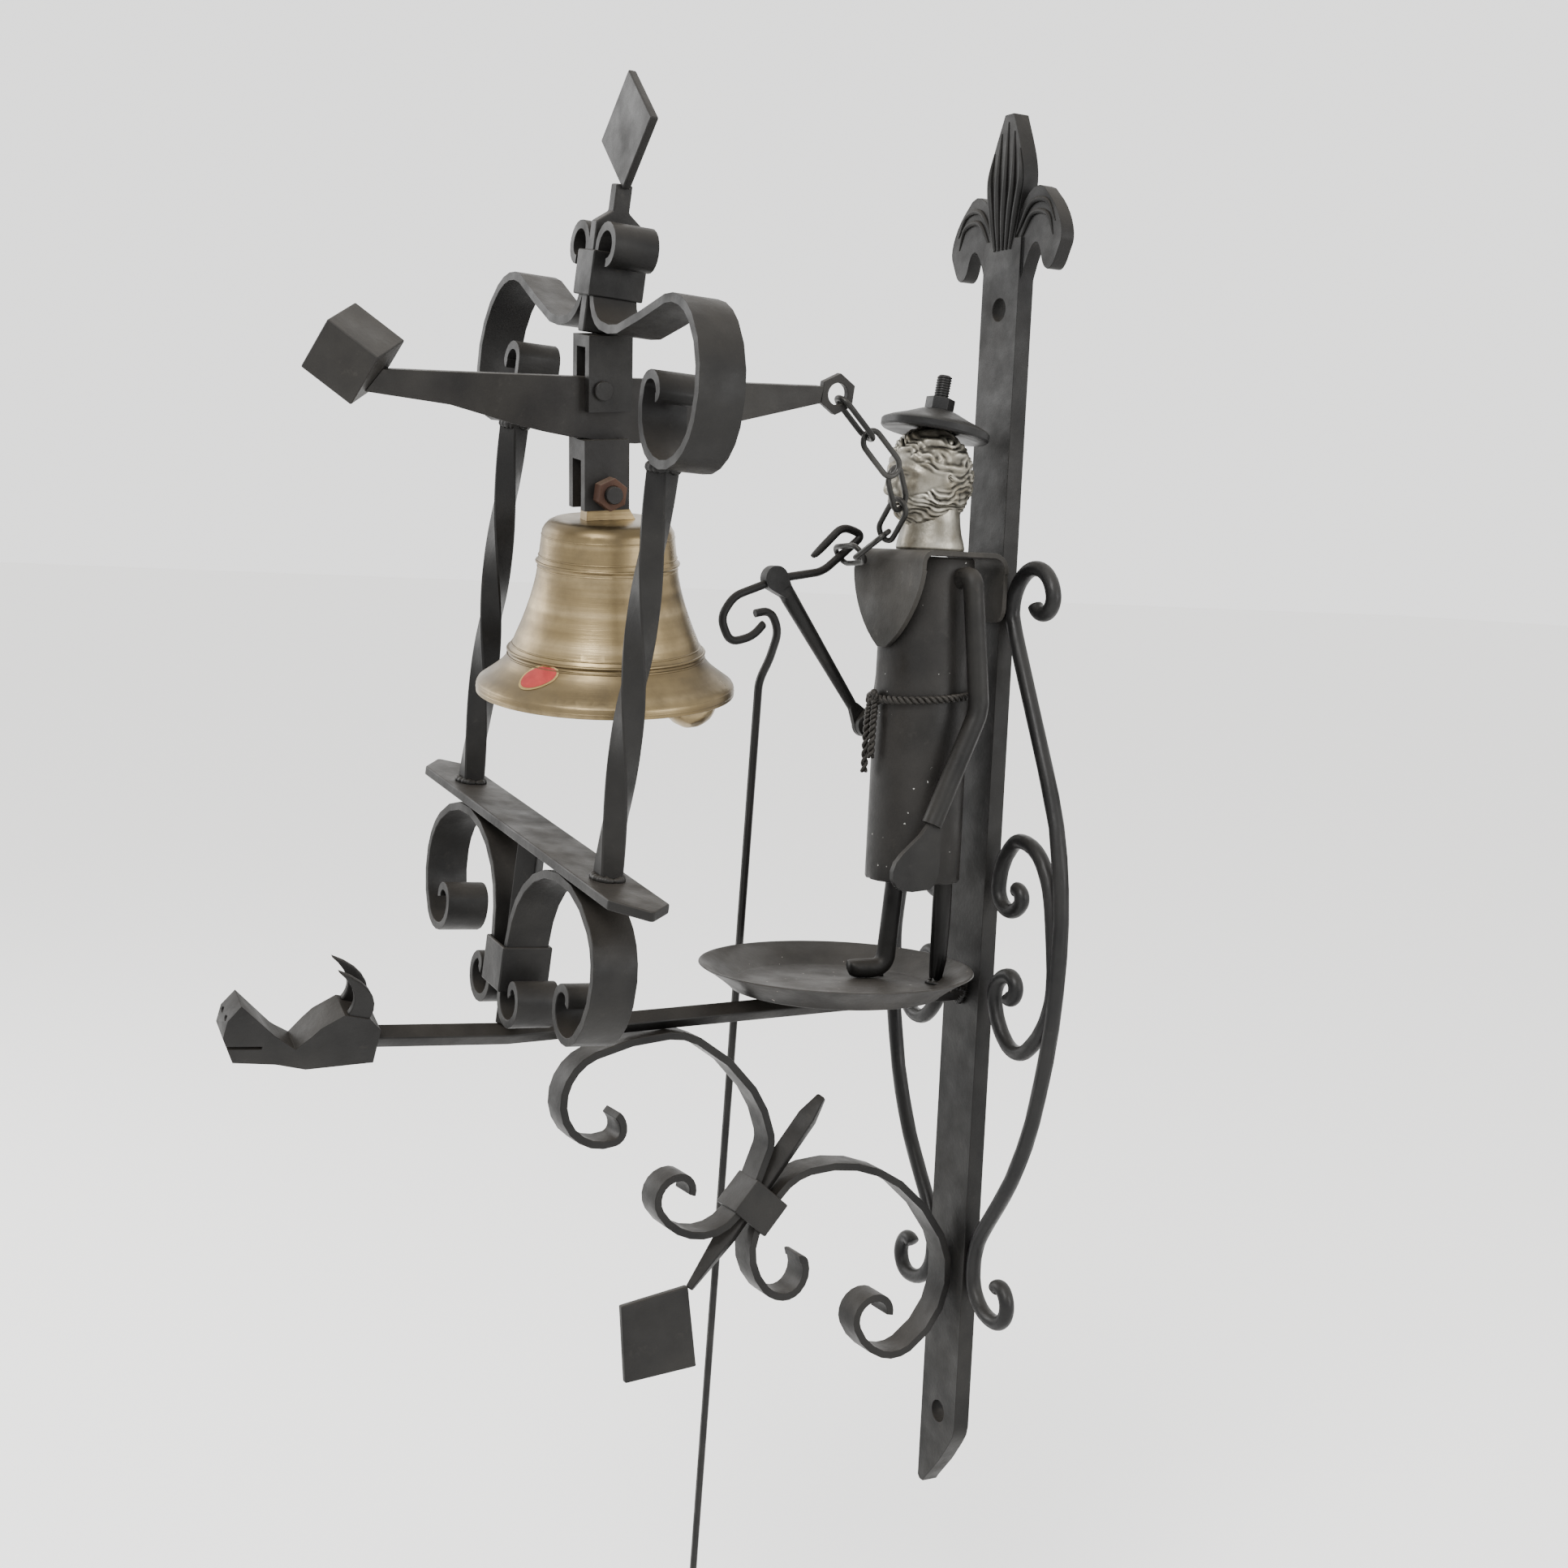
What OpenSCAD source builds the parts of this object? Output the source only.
// Wall bell on a forged bracket: a small hooded figure pulls a chain that rocks a brass bell.
// Millimetres. The back of the strap is the plane y = 0, the bracket reaches out to -y, z is up.
// The origin is halfway between the two wall holes.

/* [Wall strap] */
// Width of the flat strap
strap_w = 25; // [20:1:32]
// Thickness of the strap
strap_t = 7; // [5:0.5:9]
// Distance between the two wall holes
hole_spacing = 448; // [380:1:500]
// Diameter of the wall holes
hole_d = 9; // [6:0.5:11]
// Strap that goes on past the lower hole
foot_len = 33.5; // [20:0.5:50]
// Strap that goes on past the upper hole, up to the leaves
neck_len = 27; // [20:0.5:40]
// Height of the forged leaf end
leaf_h = 48; // [36:1:60]
// Reach of each side leaf from the middle
leaf_reach = 38; // [28:1:46]

/* [Bow and C scrolls] */
// Diameter of the round bar in the scrolls beside the strap
scroll_bar_d = 6.5; // [4:0.5:8]

/* [Arm] */
// Height of the arm at the wall, from the middle of the holes
arm_z = -47; // [-80:1:-30]
// Side of the square arm bar, which stands on its corner
arm_w = 6; // [4:0.5:8]
// Reach of the arm to the middle of the belfry
belfry_reach = 203; // [170:1:240]
// Drop of the arm at the belfry
arm_drop = 5; // [0:0.5:8]
// Arm that goes on past the belfry, to the beast's neck
arm_nose = 51; // [40:1:60]
// Roll of the beast's head about the arm
beast_roll = 25; // [-30:1:30]
// Width of the beast's head
beast_w = 12.3; // [9:0.1:16]

/* [Belfry] */
// Lean of the belfry to the side
side_lean = 7.9; // [-10:0.1:10]
// Lean of the belfry to the wall
back_lean = 2.3; // [-3:0.1:3]
// Height of the belfry's cross plate above the arm
plate_z = 74; // [70:1:90]
// Length of the cross plate
plate_len = 203; // [180:1:230]
// Width of the cross plate
plate_w = 20; // [16:1:24]
// Thickness of the cross plate
plate_t = 3.5; // [2.5:0.5:5]
// Side of the twisted posts and of the base bar
post_w = 8; // [6:0.5:10]
// Distance of each twisted post from the middle
post_x = 65; // [55:1:80]
// Height at which the twisted posts end
post_top = 214.3; // [206:0.1:220]
// Twist of the posts, in degrees
post_twist = 245; // [180:5:360]
// Width of the bands that make the belfry's scrolls
band_w = 16; // [12:0.5:18]
// Thickness of every scroll band
band_t = 3; // [2:0.25:4]

/* [Crown] */
// Height of the collar that binds the crown scrolls
crown_z = 270; // [262:1:280]
// Thickness of the crown's flat bar
crown_bar_t = 5; // [4:0.5:7]
// Side of the square plate on top
diamond_w = 28; // [20:1:36]

/* [Rocker and bell] */
// Height of the rocker's pivot above the arm
pivot_z = 232; // [228:0.5:236]
// Thickness of the rocker beam
beam_t = 6; // [4:0.5:7]
// Thickness of each fork cheek
cheek_t = 3.5; // [2.5:0.5:4.5]
// Gap between the beam and each cheek
cheek_gap = 0.6; // [0.4:0.1:1]
// Side of the cube weight
cube_w = 20; // [14:1:26]
// Distance of the cube weight from the pivot
cube_reach = 85; // [70:1:95]
// Diameter of the pivot rivet
rivet_d = 3; // [2:0.25:4]
// Diameter of the bolt that carries the bell
bolt_d = 6; // [5:0.5:6]
// Height of the bell bolt above the arm
bolt_z = 198; // [196:0.5:200]
// Radius of the bell's mouth
mouth_r = 45.5; // [36:0.5:52]
// Height of the bell from the mouth to its flat top
bell_h = 61; // [52:1:62]
// Wall of the bell
bell_wall = 2; // [1.5:0.25:3]
// Lean of the bell, its mouth to the wall
bell_lean = 7; // [0:0.5:9]
// Diameter of the clapper ball
ball_d = 20; // [14:1:21]
// Radial play of every pin that turns
pin_play = 0.05; // [0.02:0.01:0.09]

/* [Figure and dish] */
// Distance from the wall to the middle of the dish
dish_y = 66.5; // [62:0.5:80]
// Radius of the dish at its rim
dish_rim_r = 54.2; // [46:0.1:56]
// Radius of the dish at its base
dish_base_r = 41.8; // [36:0.1:46]
// Height of the dish
dish_h = 9.5; // [6:0.5:16]
// Thickness of the dish's sheet
dish_t = 1.6; // [1:0.1:2.4]
// Distance from the wall to the middle of the figure
figure_y = 33.5; // [31:0.5:38]
// Radius of the robe at the hem
robe_r = 18.8; // [16:0.2:20]
// Height of the hem above the dish floor
hem_z = 41; // [34:1:50]
// Height of the shoulders above the dish floor
shoulder_z = 170.6; // [160:1:176]
// Thickness of the mantle's sheet
mantle_t = 2; // [1.5:0.25:3]
// Diameter of the legs and of the upper arms
limb_d = 8; // [6:0.5:9]
// Diameter of the round hat
hat_d = 43; // [36:1:50]
// Tilt of the hat, lower at the wall
hat_tilt = 9; // [0:1:12]
// Distance of the pulling arm from the middle
pull_x = 26; // [25:0.5:27]

/* [Chain and pull] */
// Diameter of the chain wire
link_wire = 2.4; // [2:0.1:2.5]
// Outer width of a chain link
link_w = 10.5; // [10:0.25:11]
// Diameter of the bent pull wire
wire_d = 3.6; // [3:0.2:3.6]
// Diameter of the pull rod
rod_d = 3.3; // [2.6:0.1:3.4]
// Length of the straight pull rod
rod_len = 470; // [300:10:560]

/* [Hidden] */
iron = [0.23, 0.22, 0.21];
dark_iron = [0.16, 0.155, 0.15];
$fn = 48;
eps = 0.01;

// Every bent bar is a list of bends: [length, turn in degrees], walked from a start and a heading.
bow_start = [31, 110];
bow_bends = [[18, 164], [24.5, 114], [22.5, 73], [48, 17], [72.5, -33], [84.5, -20], [55, -24],
    [25.5, 51], [24, 88], [18.5, 130], [7, 93]];
c_start = [29, -1.5];
c_bends = [[9, -143], [21.5, -143], [21, -53], [5, -35], [18, -55], [15, -22], [29, -13],
    [37, -57], [14.5, -71], [19, -44], [16.5, -96], [11, -131], [5, -80]];
crown_down = [[5, -1], [18.5, 78], [14.5, 24], [17.5, 15], [17.5, -11], [21.5, -55], [33.5, -60],
    [21.5, -64], [39.5, -115], [5, -58], [11, -98], [3, -92]];
crown_up = [[6, 0], [7, -50], [8, -70], [9, -80], [6, -70]];
base_up = [[9, -3], [13.5, -12], [16, -28], [19, -29], [23, -29], [20.5, -30], [17, -43],
    [24.5, -50], [13.5, -66], [14.5, -85], [9, -91], [6, -93]];
base_down = [[5, 0], [8.5, 56], [8, 54], [9.5, 64], [8, 64], [4.5, 83], [4, 83]];
upper_bends = [[7, -55], [5.5, -70], [19, -65], [15.5, -53], [19, -58], [30.5, -19], [13, -29],
    [32, -25], [20.5, -24], [5.5, -27], [28.5, -27], [16, -50], [22.5, -57], [19, -125],
    [10.5, -106]];
lower_bends = [[3, -84], [12, -68], [7, -50], [9, -39], [13, -30], [12, -36], [22.5, -29],
    [11, -29], [21.5, -22], [22.5, -24], [32, -25], [52, -90], [13, -50], [17.5, -46], [18.5, -122],
    [10.5, -92]];

// ---- paths ----
function step_to(p, a, len, turn) = let (h = a + turn / 2,
    c = abs(turn) < 0.01 ? len : len * sin(turn / 2) / (turn / 2 * PI / 180))
    [p.x + c * cos(h), p.y + c * sin(h), a + turn];
function walk(p, steps, i = 0) = i == len(steps) ? [p]
    : concat([p], walk(step_to(p, p[2], steps[i][0], steps[i][1]), steps, i + 1));
function split(bends, turn_per_step = 18) = [for (b = bends)
    let (k = max(1, ceil(abs(b[1]) / turn_per_step))) each [for (i = [1:k]) [b[0] / k, b[1] / k]]];
function path(start, heading, bends) = walk([start.x, start.y, heading], split(bends));
function flip(p) = [for (i = [len(p) - 1:-1:0]) [p[i].x, p[i].y, p[i][2]]];
function side(p, off) = [p.x - off * sin(p[2]), p.y + off * cos(p[2])];
function unit(v) = v / norm(v);

// A flat band along a path, its edge outline extruded across its width.
module band(p, w, t) {
    left = [for (q = p) side(q, t / 2)];
    right = [for (q = flip(p)) side(q, -t / 2)];
    linear_extrude(w, center = true) polygon(concat(left, right));
}

// A round bar along 3-D points, with rings in the plane that each bend halves.
function tangent(p, i) = unit(p[min(i + 1, len(p) - 1)] - p[max(i - 1, 0)]);
function ring(c, t, up, r, n) = let (u = unit(cross(up, t)), v = cross(t, u))
    [for (k = [0:n - 1]) c + r * (cos(360 * k / n) * u + sin(360 * k / n) * v)];
module bar(p, r, up, n = 10) {
    rings = [for (i = [0:len(p) - 1]) each ring(p[i], tangent(p, i), up, r, n)];
    last = (len(p) - 1) * n;
    walls = [for (i = [0:len(p) - 2]) for (k = [0:n - 1])
        [i * n + k, (i + 1) * n + k, (i + 1) * n + (k + 1) % n, i * n + (k + 1) % n]];
    polyhedron(rings, concat([[for (k = [0:n - 1]) k]],
        [[for (k = [n - 1:-1:0]) last + k]], walls), convexity = 8);
}
// Points with each inner corner rounded off.
function round_corner(a, b, c, r, k = 5) = let (u = unit(a - b), v = unit(c - b),
    s = b + r * u, e = b + r * v)
    [for (i = [0:k]) let (w = i / k) (1 - w) * (1 - w) * s + 2 * w * (1 - w) * b + w * w * e];
function rounded(p, r) = concat([p[0]],
    [for (i = [1:len(p) - 2]) each round_corner(p[i - 1], p[i], p[i + 1], r)], [p[len(p) - 1]]);

// Stand a child drawn in (x, y) up in a plane, and thicken it about that plane.
module in_xz(y = 0) translate([0, y, 0]) rotate([90, 0, 0]) children();
module in_yz(x = 0) translate([x, 0, 0]) rotate([90, 0, 90]) children();
// Point the child's z axis from a to b.
module aim(a, b) {
    d = b - a;
    translate(a) rotate([0, acos(d.z / norm(d)), atan2(d.y, d.x)]) children();
}
module pair(s) {
    if (s > 0) children();
    else mirror([1, 0, 0]) children();
}

// ---- places that several pieces share ----
strap_bottom = -hole_spacing / 2 - foot_len;
strap_neck = hole_spacing / 2 + neck_len;
arm_half = arm_w / sqrt(2);
arm_root = [0, -strap_t, arm_z];
arm_bend = [0, -belfry_reach, arm_z - arm_drop];
arm_end = [0, -belfry_reach - arm_nose, arm_z - arm_drop / 2];
dish_bottom = arm_z + 3.8;
floor_z = dish_bottom + dish_t;
hem = floor_z + hem_z;
shoulders = floor_z + shoulder_z;
elbow = [-pull_x, -42.8, floor_z + 100];
hand = [-pull_x, -86.5, floor_z + 157];
crown_y = 2;
fork_in = beam_t / 2 + cheek_gap;
fork_out = fork_in + cheek_t;
bolt_y = 8;
// Pivots of the chain's links: two hang from the rocker's eye, four rise from the bent wire.
// The loop is left open where the second and third links pass side by side.
upper_chain = [[32.6, -95.4, 180.9], [31.2, -82.4, 169], [30, -69.9, 157.4]];
lower_chain = [[24.5, -66.8, 157], [17.5, -58.5, 145.5], [5, -57.5, 134], [-10.5, -58.5, 126.5],
    [-27.7, -57.5, 125.6]];
// Direction of each link's wide side.
link_wide = [[1, 0, -0.14], [0, 1, 1.07], [0.2, -0.73, -0.65], [0.65, 0.34, -0.68], [0, 0.8, 0.6],
    [0, -0.6, 0.8]];
link_play = 0.35;
rod_top = [-pull_x, -92.4, 75.3];
rod_dir = unit([-31.5, 13.5, -110]);

module belfry() {
    translate(arm_bend) rotate([-back_lean, 0, 0]) rotate([0, side_lean, 0]) children();
}

// ---- wall strap and its scrolls ----
function arc_points(c, r, a, b, k = 8) = [for (i = [0:k])
    let (t = a + (b - a) * i / k) c + r * [cos(t), sin(t)]];
function curve(a, b, c, d, k = 8) = [for (i = [0:k]) let (t = i / k, s = 1 - t)
    s * s * s * a + 3 * s * s * t * b + 3 * s * t * t * c + t * t * t * d];
module leaf_outline() {
    h = leaf_h;
    polygon(concat(
        curve([3, h], [6, h * 0.85], [12.5, h * 0.62], [12, h * 0.45]),
        curve([12, h * 0.45], [11.5, h * 0.3], [9, h * 0.12], [8, 0]),
        curve([-8, 0], [-9, h * 0.12], [-11.5, h * 0.3], [-12, h * 0.45]),
        curve([-12, h * 0.45], [-12.5, h * 0.62], [-6, h * 0.85], [-3, h])));
}
module side_leaf_outline() {
    r = leaf_reach;
    polygon(concat(
        curve([6, -4], [8, 16], [20, 24], [r * 0.72, 15]),
        curve([r * 0.72, 15], [r * 0.92, 9], [r * 1.02, 0], [r * 0.98, -4]),
        curve([r * 0.9, -10], [r * 0.82, -16], [r * 0.7, -14], [r * 0.66, -9]),
        curve([r * 0.66, -9], [r * 0.62, -2], [r * 0.5, 3], [12.5, -16])));
}
module foot_outline() {
    w = strap_w / 2;
    h = -hole_spacing / 2;
    k = foot_len / 33.5;
    polygon([[-w, strap_neck], [w, strap_neck], [w, h - 3], [w - 0.9, h - 7 * k], [w - 3.6, h - 11.5 * k],
        [w - 10, h - 20.5 * k], [5.4 - w, h - 31.5 * k], [4 - w, strap_bottom],
        [1.4 - w, strap_bottom], [-w, strap_bottom + 1.5]]);
}
module wall_strap() color(iron) difference() {
    union() {
        in_xz() linear_extrude(strap_t) foot_outline();
        translate([0, 0, strap_neck - eps]) in_xz() linear_extrude(strap_t) leaf_outline();
        for (s = [-1, 1]) translate([0, 0, strap_neck]) pair(s)
            in_xz() linear_extrude(strap_t - 1) side_leaf_outline();
    }
    for (s = [-1, 1]) translate([0, 1, s * hole_spacing / 2]) rotate([90, 0, 0])
        cylinder(h = strap_t + 2, d = hole_d);
}
function lift(p, y) = [for (q = p) [q.x, y, q.y]];
module bow_scroll(s) color(dark_iron) pair(s)
    bar(lift(path(bow_start, -63, bow_bends), -scroll_bar_d / 2 - 0.4), scroll_bar_d / 2, [0, 1, 0], 10);
module c_scroll(s) color(dark_iron) pair(s)
    bar(lift(path(c_start, 17, c_bends), -scroll_bar_d / 2 - 0.4), scroll_bar_d / 2, [0, 1, 0], 10);

// ---- arm and beast ----
module support_arm() color(iron)
    bar([arm_root, arm_bend, arm_end], arm_half, [1, 0, 0], 4);
module at_beast() translate(arm_end) rotate([0, beast_roll, 0]) children();
module beast_head() color(iron) at_beast() difference() {
    intersection() {
        in_yz() linear_extrude(beast_w + 1, center = true) polygon([[0, -7], [0.5, 7], [-4, 12],
            [-13.5, 14.5], [-21, 9.5], [-28.5, 0.5], [-36, 6], [-49.5, 20], [-53.5, 14],
            [-54.2, 7], [-49.5, -3.8], [-24, -8]]);
        linear_extrude(80, center = true) polygon([[beast_w / 2, 1], [beast_w / 2, -24],
            [beast_w / 2 - 1.8, -34], [beast_w / 2 - 1, -55], [1 - beast_w / 2, -55],
            [1.8 - beast_w / 2, -34], [-beast_w / 2, -24], [-beast_w / 2, 1]]);
    }
    for (s = [-1, 1]) translate([s * beast_w / 3, -20, 11]) rotate([42, 0, 0]) difference() {
        cylinder(h = 3, r = 2.3, $fn = 24);
        translate([0, 0, -1]) cylinder(h = 2.2, r = 1.3, $fn = 24);
    }
    for (s = [-1, 1]) translate([s * 2.4, -53, 13.5]) rotate([70, 0, 0])
        cylinder(h = 3, r = 1, $fn = 16);
    translate([-beast_w, -56, 2.6]) rotate([-6, 0, 0]) cube([2 * beast_w, 16, 1.2]);
}
module beast_horns() color(iron) at_beast() for (s = [-1, 1])
    in_yz(s * beast_w * 0.36) linear_extrude(2.6, center = true) polygon(concat(
        curve([-5, 10.5], [-1, 16], [-3, 26], [-18.5, 32.5]),
        curve([-18.5, 32.5], [-10, 25], [-9.5, 18], [-12.5, 14])));

// ---- lower bracket: two scroll bands, a spear and a diamond held by a collar ----
upper_start = [-160.7, -84.5];
lower_start = [-80, -149];
collar_mid = [0, -99, -126];
spear_tip = [0, -70, -86];
spear_neck = [0, -125, -157];
bracket_w = 12.5;
module bracket_band(start, heading, bends) color(dark_iron)
    in_yz() band(path(start, heading, bends), bracket_w, band_t);
module spear_body(grow = 0) {
    w = 7 / sqrt(2) + grow;
    aim(spear_tip, spear_neck) {
        cylinder(h = 10, r1 = 2.4 + grow, r2 = w, $fn = 4);
        translate([0, 0, 10]) cylinder(h = norm(spear_neck - spear_tip) - 34, r = w, $fn = 4);
        translate([0, 0, norm(spear_neck - spear_tip) - 24])
            cylinder(h = 24, r1 = w, r2 = 2 + grow, $fn = 4);
    }
}
module bracket_spear() color(iron) spear_body();
module bracket_diamond() color(iron) in_yz() linear_extrude(band_t, center = true)
    polygon([[-154, -160], [-126, -155.5], [-121, -188], [-151, -190.5]]);
module bracket_collar() color(iron) aim(collar_mid, spear_neck) difference() {
    translate([-9, -8, -7.5]) cube([18, 16, 15]);
    translate([-7.4, -6.4, -9]) cube([14.8, 12.8, 18]);
}

// ---- belfry ----
module base_bar() color(iron) belfry() translate([0, 0, arm_half]) rotate(45)
    translate([-post_w / 2, -post_w / 2, 0]) cube([post_w, post_w, plate_z - arm_half]);
base_x = post_w / 2 + band_t / 2 + 0.1;
base_split = 27 - 4;
module base_scroll(s) color(dark_iron) belfry() pair(s) difference() {
    in_xz() union() {
        band(path([base_x, base_split], 90, base_up), band_w, band_t);
        band(path([base_x, base_split + eps], -90, base_down), band_w, band_t);
    }
    translate([0, 0, 10]) rotate(45) translate([-post_w / 2, -post_w / 2, 0])
        cube([post_w, post_w, 50]);
}
module box_collar(in_x, in_y, h, t) difference() {
    translate([-in_x - t, -in_y - t, -h / 2]) cube([2 * (in_x + t), 2 * (in_y + t), h]);
    translate([-in_x, -in_y, -h]) cube([2 * in_x, 2 * in_y, 2 * h]);
}
module base_collar() color(iron) belfry() translate([0, 0, 27])
    box_collar(base_x + band_t / 2, band_w / 2, 16.5, 1.5);
module belfry_plate() color(iron) belfry() translate([0, 0, plate_z]) linear_extrude(plate_t)
    polygon([[-plate_len / 2, 0.7], [9 - plate_len / 2, plate_w / 2], [plate_len / 2 - 9, plate_w / 2],
        [plate_len / 2, 0.7], [plate_len / 2, -0.7], [plate_len / 2 - 13, -plate_w / 2],
        [13 - plate_len / 2, -plate_w / 2], [-plate_len / 2, -0.7]]);
module twisted_post(s) color(iron) belfry() translate([s * post_x, 0, plate_z + plate_t])
    linear_extrude(post_top - plate_z - plate_t, twist = post_twist, slices = 54, $fn = 4)
        square(post_w, center = true);

// ---- crown ----
crown_x = crown_bar_t / 2 + band_t / 2;
module crown_scroll(s) color(dark_iron) belfry() translate([0, crown_y, 0]) pair(s) in_xz() union() {
    band(path([crown_x, crown_z + 2], -90, crown_down), band_w, band_t);
    band(path([crown_x, crown_z + 2 - eps], 90, crown_up), band_w, band_t);
}
module crown_bar() color(iron) belfry() translate([-crown_bar_t / 2, crown_y, 0]) rotate([90, 0, 90])
    linear_extrude(crown_bar_t) polygon([[-8.5, bridge_top], [8.5, bridge_top], [8.5, crown_z + 17],
        [3, crown_z + 21], [3, crown_z + 30], [-3, crown_z + 30], [-3, crown_z + 21],
        [-8.5, crown_z + 17]]);
module crown_diamond() color(iron) belfry()
    translate([0, crown_y, crown_z + 28 + diamond_w / sqrt(2)]) rotate([90, 0, 0]) rotate(45 + 11)
        translate([-diamond_w / 2, -diamond_w / 2, -band_t / 2]) cube([diamond_w, diamond_w, band_t]);
module crown_collar() color(iron) belfry() translate([0, crown_y, crown_z])
    box_collar(crown_x + band_t / 2, band_w / 2 + 0.5, 15, 1.5);

// ---- forks, rocker and bell ----
pivot = [0, 1.5, pivot_z];
bridge_top = 250.5;
module cheek(w, z0, z1, s) translate([s > 0 ? fork_in : -fork_out, -w / 2, z0])
    cube([cheek_t, w, z1 - z0]);
module hanger_fork() color(iron) belfry() difference() {
    translate([0, crown_y, bridge_top]) rotate([7.5, 0, 0]) translate([0, 0, -bridge_top]) union() {
        for (s = [-1, 1]) cheek(16, pivot_z - 7, bridge_top, s);
        translate([-fork_out, -8, bridge_top - 4]) cube([2 * fork_out, 16, 4]);
    }
    translate(pivot) rotate([0, 90, 0]) cylinder(h = 40, d = rivet_d, center = true);
}
module pivot_rivet() color(iron) belfry() translate(pivot) rotate([0, 90, 0]) {
    cylinder(h = 2 * fork_out, d = rivet_d, center = true);
    for (s = [-1, 1]) translate([0, 0, s > 0 ? fork_out : -fork_out - 1.6])
        cylinder(h = 1.6, r = rivet_d / 2 + 1.8);
}
module rocker_beam() color(iron) belfry() difference() {
    in_yz() linear_extrude(beam_t, center = true) polygon(concat(
        [[1.5 - cube_reach, 222], [1.5 - cube_reach, 229]],
        curve([-40, 232.5], [-20, 234.2], [20, 238], [60, 241.3], 6),
        [[88.5, 243.5], [88, 237.4]],
        curve([57, 227.5], [42, 222], [26, 214.8], [10, 215], 6),
        curve([4, 215], [-18, 214.8], [-34, 218.5], [-50, 221], 6)));
    translate(pivot) rotate([0, 90, 0]) cylinder(h = 40, d = rivet_d + 2 * pin_play, center = true);
    translate([0, 1.5 - cube_reach, 233.3]) rotate([-69, 29, 58]) cube(cube_w, center = true);
    translate([-10, -20 - cube_reach, 200]) cube([20, 21.5, 60]);
}
module cube_weight() color(iron) belfry() translate([0, 1.5 - cube_reach, 233.3])
    rotate([-69, 29, 58]) cube(cube_w, center = true);
eye = [0, 95.5, 241.4];
eye_hole = 8;
module eye_nut() color(iron) belfry() translate(eye) rotate([0, 90, 0]) difference() {
    cylinder(h = 3, r = 7.5, $fn = 6, center = true);
    cylinder(h = 6, d = eye_hole, center = true);
}
stirrup_lean = 8;
module stirrup_frame() translate([0, bolt_y, bolt_z]) rotate([stirrup_lean, 0, 0]) children();
module bell_stirrup() color(iron) belfry() difference() {
    stirrup_frame() {
        for (s = [-1, 1]) translate([s > 0 ? fork_in : -fork_out, -8.3, -6]) cube([cheek_t, 16.6, 24]);
        translate([-fork_out, -8.3, 11]) cube([2 * fork_out, 16.6, 7]);
    }
    translate([0, bolt_y, bolt_z]) rotate([0, 90, 0]) cylinder(h = 40, d = bolt_d, center = true);
    translate([-fork_in, -30, 215]) cube([2 * fork_in, 60, 20]);
}
module bell_bolt() color(iron) belfry() translate([0, bolt_y, bolt_z]) rotate([0, 90, 0]) {
    translate([0, 0, -fork_out]) cylinder(h = 2 * fork_out + 7, d = bolt_d);
    translate([0, 0, -fork_out - 4]) cylinder(h = 4, r = 5.8, $fn = 6);
}
module bell_nut() color([0.35, 0.2, 0.12]) belfry() translate([fork_out, bolt_y, bolt_z])
    rotate([0, 90, 0]) difference() {
        cylinder(h = 5, r = 5.8, $fn = 6);
        translate([0, 0, -1]) cylinder(h = 7, d = bolt_d);
    }
// The bell's own frame: z up its axis from the mouth.
tab_top = bolt_z - 188 + bell_h;
module bell_frame() belfry() translate([0, bolt_y, bolt_z]) rotate([bell_lean, 0, 0])
    translate([0, 3.8, -71 * bell_h / 61]) children();
clapper_pin_z = bell_h - 9;
clapper_pin_d = 2;
ball_z = -6;
ball_y = mouth_r - 12.4;
module bell() color([0.62, 0.5, 0.28]) bell_frame() difference() {
    union() {
        rotate_extrude($fn = 96) bell_profile();
        translate([-3, -9.5, bell_h - 1]) rotate([90, 0, 90]) linear_extrude(6)
            polygon(concat([[0, 0], [19, 0]], arc_points([5.7, 71 * bell_h / 61 - bell_h + 1], 5.5, 40, 170)));
        for (s = [-1, 1]) translate([s > 0 ? 1.6 : -4.1, -4, clapper_pin_z - 3.5])
            cube([2.5, 8, bell_h - clapper_pin_z + 2.5]);
        translate([0, 0, clapper_pin_z]) rotate([0, 90, 0]) cylinder(h = 7.5, d = clapper_pin_d, center = true);
    }
    translate([0, -3.8, 71 * bell_h / 61]) rotate([0, 90, 0])
        cylinder(h = 20, d = bolt_d + 2 * pin_play, center = true);
}
module bell_profile() {
    r = mouth_r;
    w = bell_wall;
    h = bell_h / 61;
    outer = concat([[r, 0], [r, 2.5 * h]], curve([r * 0.985, 4 * h], [r * 0.86, 8 * h], [r * 0.79, 10 * h],
        [r * 0.75, 14 * h], 5), [[r * 0.762, 15 * h], [r * 0.735, 16 * h]],
        curve([r * 0.7, 20 * h], [r * 0.62, 28 * h], [r * 0.55, 38 * h], [r * 0.535, 45 * h], 6),
        [[r * 0.55, 46 * h], [r * 0.53, 47.5 * h], [r * 0.51, 55 * h]],
        curve([r * 0.505, 57 * h], [r * 0.48, 59.5 * h], [r * 0.44, 61 * h], [r * 0.38, 61 * h], 4));
    inner = concat([[0, bell_h - w - 0.5]], [[r * 0.38, bell_h - w - 0.5], [r * 0.5 - w, 54 * h]],
        curve([r * 0.53 - w, 45 * h], [r * 0.55 - w, 38 * h], [r * 0.62 - w, 28 * h], [r * 0.7 - w, 20 * h], 6),
        curve([r * 0.74 - w, 14 * h], [r * 0.78 - w, 9.5 * h], [r * 0.87 - w, 7 * h], [r - w - 0.6, 1.5 * h], 5),
        [[r - w - 0.4, 0]]);
    polygon(concat(outer, [[0, bell_h]], inner));
}
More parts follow.
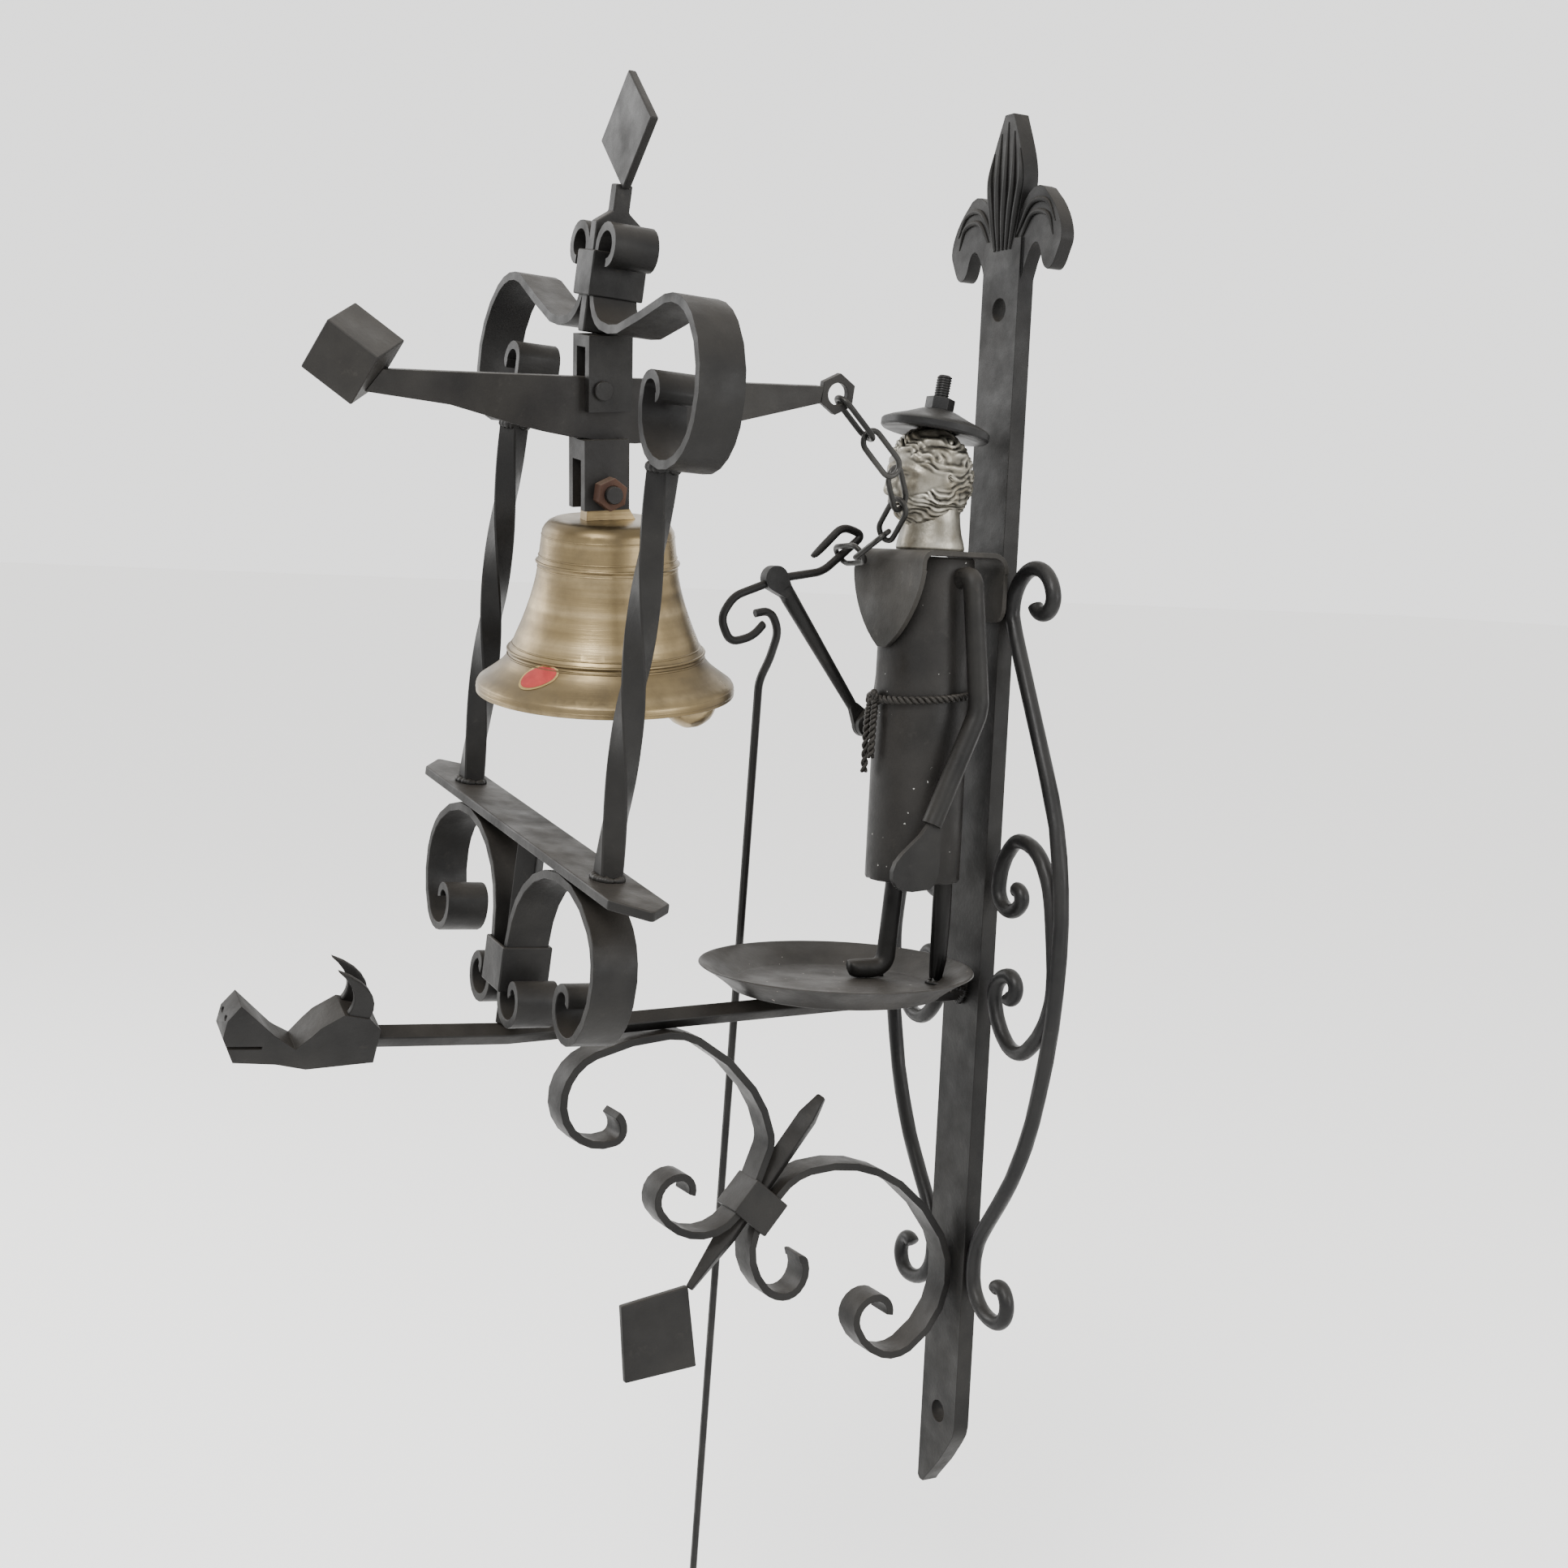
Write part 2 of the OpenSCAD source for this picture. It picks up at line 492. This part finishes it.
module clapper_rod() color(iron) bell_frame() difference() {
    union() {
        translate([0, 0, clapper_pin_z]) rotate([0, 90, 0]) {
            cylinder(h = 2.4, r = 2.6, center = true);
        }
        aim([0, 0, clapper_pin_z], [0, ball_y, ball_z]) translate([0, 0, 2])
            cylinder(h = norm([ball_y, clapper_pin_z - ball_z]) - 2 - ball_d / 2 + 1, r = 1.1);
    }
    aim([0, 0, clapper_pin_z], [0, ball_y, ball_z])
        translate([0, 0, norm([ball_y, clapper_pin_z - ball_z])]) sphere(d = ball_d);
    translate([0, 0, clapper_pin_z]) rotate([0, 90, 0])
        cylinder(h = 6, d = clapper_pin_d + 2 * pin_play, center = true);
}
module clapper_ball() color(iron) bell_frame() translate([0, ball_y, ball_z]) sphere(d = ball_d);

// ---- dish and figure ----
module drip_dish() color(iron) {
    difference() {
        translate([0, -dish_y, dish_bottom]) rotate_extrude($fn = 96) polygon([[0, 0],
            [dish_base_r - 1, 0], [dish_base_r, 0.6], [dish_rim_r, dish_h - 0.8],
            [dish_rim_r - 0.6, dish_h], [dish_rim_r - dish_t, dish_h - 0.5],
            [dish_base_r - 1.4, dish_t + 0.4], [dish_base_r - 2.4, dish_t], [0, dish_t]]);
    }
    in_yz() linear_extrude(9, center = true) polygon([[-strap_t, dish_bottom - 6],
        [-strap_t, dish_bottom + 3], [dish_base_r - dish_y - 3, dish_bottom + 1],
        [dish_base_r - dish_y - 3, dish_bottom]]);
}
module at_figure() translate([0, -figure_y, 0]) children();
module robe() color(iron) at_figure() translate([0, 0, hem]) rotate_extrude() polygon([
    [robe_r - 2, 0], [robe_r, 0], [robe_r - 0.8, shoulders - hem - mantle_t],
    [0, shoulders - hem - mantle_t], [0, shoulders - hem - mantle_t - 2],
    [robe_r - 2.8, shoulders - hem - mantle_t - 2]]);
mantle_front = 52;
module mantle_sheet() {
    t = mantle_t;
    z = shoulders;
    b = -strap_t - 0.2;
    f = -mantle_front;
    in_yz() linear_extrude(60, center = true) polygon(concat([[b, z - 28]],
        arc_points([b - 7, z - 7], 7, 0, 90, 5), arc_points([f + 5, z - 5], 5, 90, 180, 5),
        [[f - 1.5, z - 40], [f - 1.5 + t, z - 40]], arc_points([f + 5, z - 5], 5 - t, 180, 90, 5),
        arc_points([b - 7, z - 7], 7 - t, 90, 0, 5), [[b - t, z - 28]]));
}
module mantle() color(iron) difference() {
    intersection() {
        mantle_sheet();
        union() {
            translate([0, 0, shoulders - 8]) linear_extrude(20) polygon([[-17, 0], [-18, -20],
                [-24, -mantle_front + 9], [-25.5, -mantle_front - 3], [25.5, -mantle_front - 3],
                [24, -mantle_front + 9], [18, -20], [17, 0]]);
            translate([0, 20 - mantle_front, 0]) in_xz() linear_extrude(40) polygon(concat(
                curve([-25.5, shoulders - 7.9], [-24, shoulders - 20], [-14, shoulders - 32], [-3, shoulders - 38]),
                curve([3, shoulders - 38], [14, shoulders - 32], [24, shoulders - 20], [25.5, shoulders - 7.9])));
            translate([0, 5, 0]) in_xz() linear_extrude(26) polygon(concat(
                arc_points([-11, shoulders - 21], 6, 180, 270, 5), arc_points([11, shoulders - 21], 6, 270, 360, 5),
                [[17, shoulders - 7.9], [-17, shoulders - 7.9]]));
        }
    }
}
module head() color([0.5, 0.45, 0.36]) at_figure() translate([0, 0, shoulders]) {
    hull() {
        translate([0, -4, 28.5]) sphere(r = 17.5, $fn = 28);
        translate([0, 5, 26]) sphere(r = 15, $fn = 28);
        translate([0, -11, 17]) sphere(r = 9, $fn = 28);
    }
    difference() {
        cylinder(h = 22, r1 = 13, r2 = 10.5);
        translate([0, 0, -1]) cylinder(h = 1.02, r = 20);
    }
}
hat_z = shoulders + 47.5;
module at_hat() at_figure() translate([0, 0, hat_z]) rotate([-hat_tilt, 0, 0]) children();
module hat() color(dark_iron) at_hat() difference() {
    rotate_extrude() polygon([[3, -1], [hat_d / 2 - 2, -3], [hat_d / 2, -2.2], [hat_d / 2, 0.4],
        [hat_d / 2 - 3, 1.8], [7, 6.5], [3, 6.5]]);
}
module hat_nut() color(dark_iron) at_hat() translate([0, 0, 6.5]) difference() {
    cylinder(h = 5, r = 5.8, $fn = 6);
    translate([0, 0, -1]) cylinder(h = 8, d = 6);
}
module hat_stud() color(dark_iron) at_hat() translate([0, 0, -1]) cylinder(h = 21.5, d = 6);
module near_arm() color(iron) {
    at_figure() translate([0, 0, floor_z]) {
        bar(rounded([[16.5, 4, 160], [25, 4.5, 162], [26, 10, 110], [26, -9, 66]], 5),
            limb_d / 2 - 0.01, unit([0.1, 0.9, 0.5]), 12);
        in_yz(26) linear_extrude(2.6, center = true) polygon(concat(
            [[-8.4, 69], [-14, 62]], curve([-22, 55], [-29, 49], [-27, 40], [-17, 40.3], 6),
            curve([-9, 41], [-3, 44], [-6, 56], [-5, 66.5], 6)));
    }
}
pivot_disc = 5;
module far_upper_arm() color(iron) difference() {
    union() {
        bar([elbow + [3.4, 4.4, 8], [-pull_x + 3.4, 1 - figure_y, shoulders - mantle_t - 4],
            [-pull_x + 3.6, 1 - figure_y, shoulders - mantle_t - 0.2]], limb_d / 2 - 0.5, [1, 0, 0], 12);
        hull() {
            translate(elbow + [0.5, 0, 0]) rotate([0, 90, 0]) cylinder(h = 2.5, r = pivot_disc);
            translate(elbow + [0.5, 4, 7]) rotate([0, 90, 0]) cylinder(h = 4.5, r = 3.6);
        }
    }
    translate(elbow) rotate([0, 90, 0]) cylinder(h = 30, d = rivet_d, center = true);
}
module far_forearm() color(iron) difference() {
    union() {
        translate(elbow + [-2.5, 0, 0]) rotate([0, 90, 0]) cylinder(h = 2.5, r = pivot_disc);
        hull() {
            translate(elbow + [-2.5, 0, 0]) rotate([0, 90, 0]) cylinder(h = 2.5, r = pivot_disc - 0.2);
            translate(elbow + [-2.5, -5, 6.6]) rotate([0, 90, 0]) cylinder(h = 2.5, r = 2.2);
        }
        aim(elbow + [-1.9, -4.4, 5.8], hand + [-0.5, 3, -3])
            cylinder(h = norm(hand - elbow) - 12, r1 = 2.1, r2 = 3.4);
        hull() {
            translate(hand + [-2.8, 4, -5]) rotate([0, 90, 0]) cylinder(h = 5, r = 2.5);
            translate(hand + [-2.5, -1, 0]) rotate([0, 90, 0]) cylinder(h = 5, r = 5);
        }
    }
    translate(elbow) rotate([0, 90, 0]) cylinder(h = 30, d = rivet_d + 2 * pin_play, center = true);
}
module elbow_rivet() color(iron) translate(elbow) rotate([0, 90, 0]) {
    translate([0, 0, -2.8]) cylinder(h = 5.8, d = rivet_d);
    translate([0, 0, -4]) cylinder(h = 1.3, r = 2.8);
}
module leg(s) color(iron) {
    foot = s > 0 ? [] : [[-9.7, -55.2, floor_z + limb_d / 2], [-7.4, -39.5, floor_z + limb_d / 2]];
    knee = s > 0 ? [[9, -24.5, floor_z]] : [];
    top = s > 0 ? [9, -24.5, hem + 30] : [-4.8, -35.5, hem + 30];
    bar(s > 0 ? [knee[0], top] : rounded([foot[0], foot[1], top], 6), limb_d / 2,
        s > 0 ? [1, 0, 0] : [1, 0, 0], 12);
}
belt_z = floor_z + 114;
module rope_belt() color([0.35, 0.33, 0.3]) at_figure() translate([0, 0, belt_z]) rotate([5, 0, 0])
    rotate_extrude() difference() {
        translate([robe_r + 0.9, 0]) circle(r = 1.5, $fn = 16);
        translate([0, -5]) square([robe_r - 0.1, 10]);
    }
module belt_tails() color([0.35, 0.33, 0.3]) {
    k = [-3, -figure_y - robe_r - 2.2, belt_z - 1.5];
    bar([k, k + [-0.5, -1, -10], k + [-1, -1.2, -30]], 1.4, [1, 0, 0], 8);
    bar([k + [3.2, 0.2, 0], k + [3.4, -0.6, -10], k + [3, -0.8, -24]], 1.4, [1, 0, 0], 8);
}

// ---- pull wire, rod and chain ----
module pull_wire() color(iron)
    bar(rounded([[-pull_x, -71, 124], [-pull_x, -58, 137], [-pull_x, -48, 134],
        [-pull_x, -66, 118.8], [-pull_x, -84, 115.8], [-pull_x, -105, 108],
        [-pull_x, -110.5, 99.5], [-pull_x, -106, 90], [-pull_x, -96, 92.5], [-pull_x, -91, 98]], 4),
        wire_d / 2, [1, 0, 0], 8);
module pull_rod() color(iron) {
    end = rod_top + rod_len * rod_dir;
    bar(rounded([[-pull_x, -95.5, 101.5], [-pull_x, -88.5, 103], [-pull_x, -84.6, 95], [-pull_x, -88, 84],
        rod_top, end], 4), rod_d / 2, unit([1, 0.4, 0]), 8);
    aim(end, end + rod_dir) translate([0, 0, 11.5]) rotate([90, 0, 0])
        rotate_extrude() translate([12, 0]) circle(d = rod_d, $fn = 16);
}
// How far a link's end reaches past its pivot, more where the chain turns sharply.
function past(p, i) = let (h = (link_wire + link_play) / 2)
    i == 0 || i == len(p) - 1 ? h : h / sqrt((1 + unit(p[i] - p[i - 1]) * unit(p[i + 1] - p[i])) / 2);
module link(p, i, wide) {
    z = unit(p[i + 1] - p[i]);
    x = unit(wide - (wide * z) * z);
    r = (link_w - link_wire) / 2;
    a = p[i] - (past(p, i) - r) * z;
    b = p[i + 1] + (past(p, i + 1) - r) * z;
    loop = concat([for (t = [0:15:180]) b + r * (cos(t) * x + sin(t) * z)],
        [for (t = [180:15:360]) a + r * (cos(t) * x + sin(t) * z)]);
    closed_bar(loop, link_wire / 2, 8, cross(x, z));
}
module closed_bar(p, r, n, up) {
    m = len(p);
    rings = [for (i = [0:m - 1]) each ring(p[i], unit(p[(i + 1) % m] - p[(i + m - 1) % m]), up, r, n)];
    polyhedron(rings, [for (i = [0:m - 1]) for (k = [0:n - 1]) let (j = (i + 1) % m)
        [i * n + k, j * n + k, j * n + (k + 1) % n, i * n + (k + 1) % n]], convexity = 6);
}
module chain_link(i) color(iron) {
    if (i < 3) link(upper_chain, i - 1, link_wide[i - 1]);
    else link(lower_chain, i - 3, link_wide[i - 1]);
}

wall_strap();
bow_scroll(1);  // bow_scroll_right
bow_scroll(-1);  // bow_scroll_left
c_scroll(1);  // c_scroll_right
c_scroll(-1);  // c_scroll_left
support_arm();
beast_head();
beast_horns();
bracket_band(upper_start, -39, upper_bends);  // bracket_scroll_upper
bracket_band(lower_start, 15, lower_bends);  // bracket_scroll_lower
bracket_spear();
bracket_diamond();
bracket_collar();
base_bar();
base_scroll(1);  // base_scroll_right
base_scroll(-1);  // base_scroll_left
base_collar();
belfry_plate();
twisted_post(1);  // post_right
twisted_post(-1);  // post_left
crown_scroll(1);  // crown_scroll_right
crown_scroll(-1);  // crown_scroll_left
crown_bar();
crown_diamond();
crown_collar();
hanger_fork();
pivot_rivet();
drip_dish();
robe();
mantle();
head();
hat();
hat_nut();
hat_stud();
near_arm();
far_upper_arm();
leg(1);  // leg_right
leg(-1);  // leg_left
rope_belt();
belt_tails();
elbow_rivet();
rocker_beam();
cube_weight();
eye_nut();
bell_stirrup();
bell_bolt();
bell_nut();
bell();
clapper_rod();
clapper_ball();
far_forearm();
pull_wire();
pull_rod();
chain_link(1);  // chain_link_1
chain_link(2);  // chain_link_2
chain_link(3);  // chain_link_3
chain_link(4);  // chain_link_4
chain_link(5);  // chain_link_5
chain_link(6);  // chain_link_6
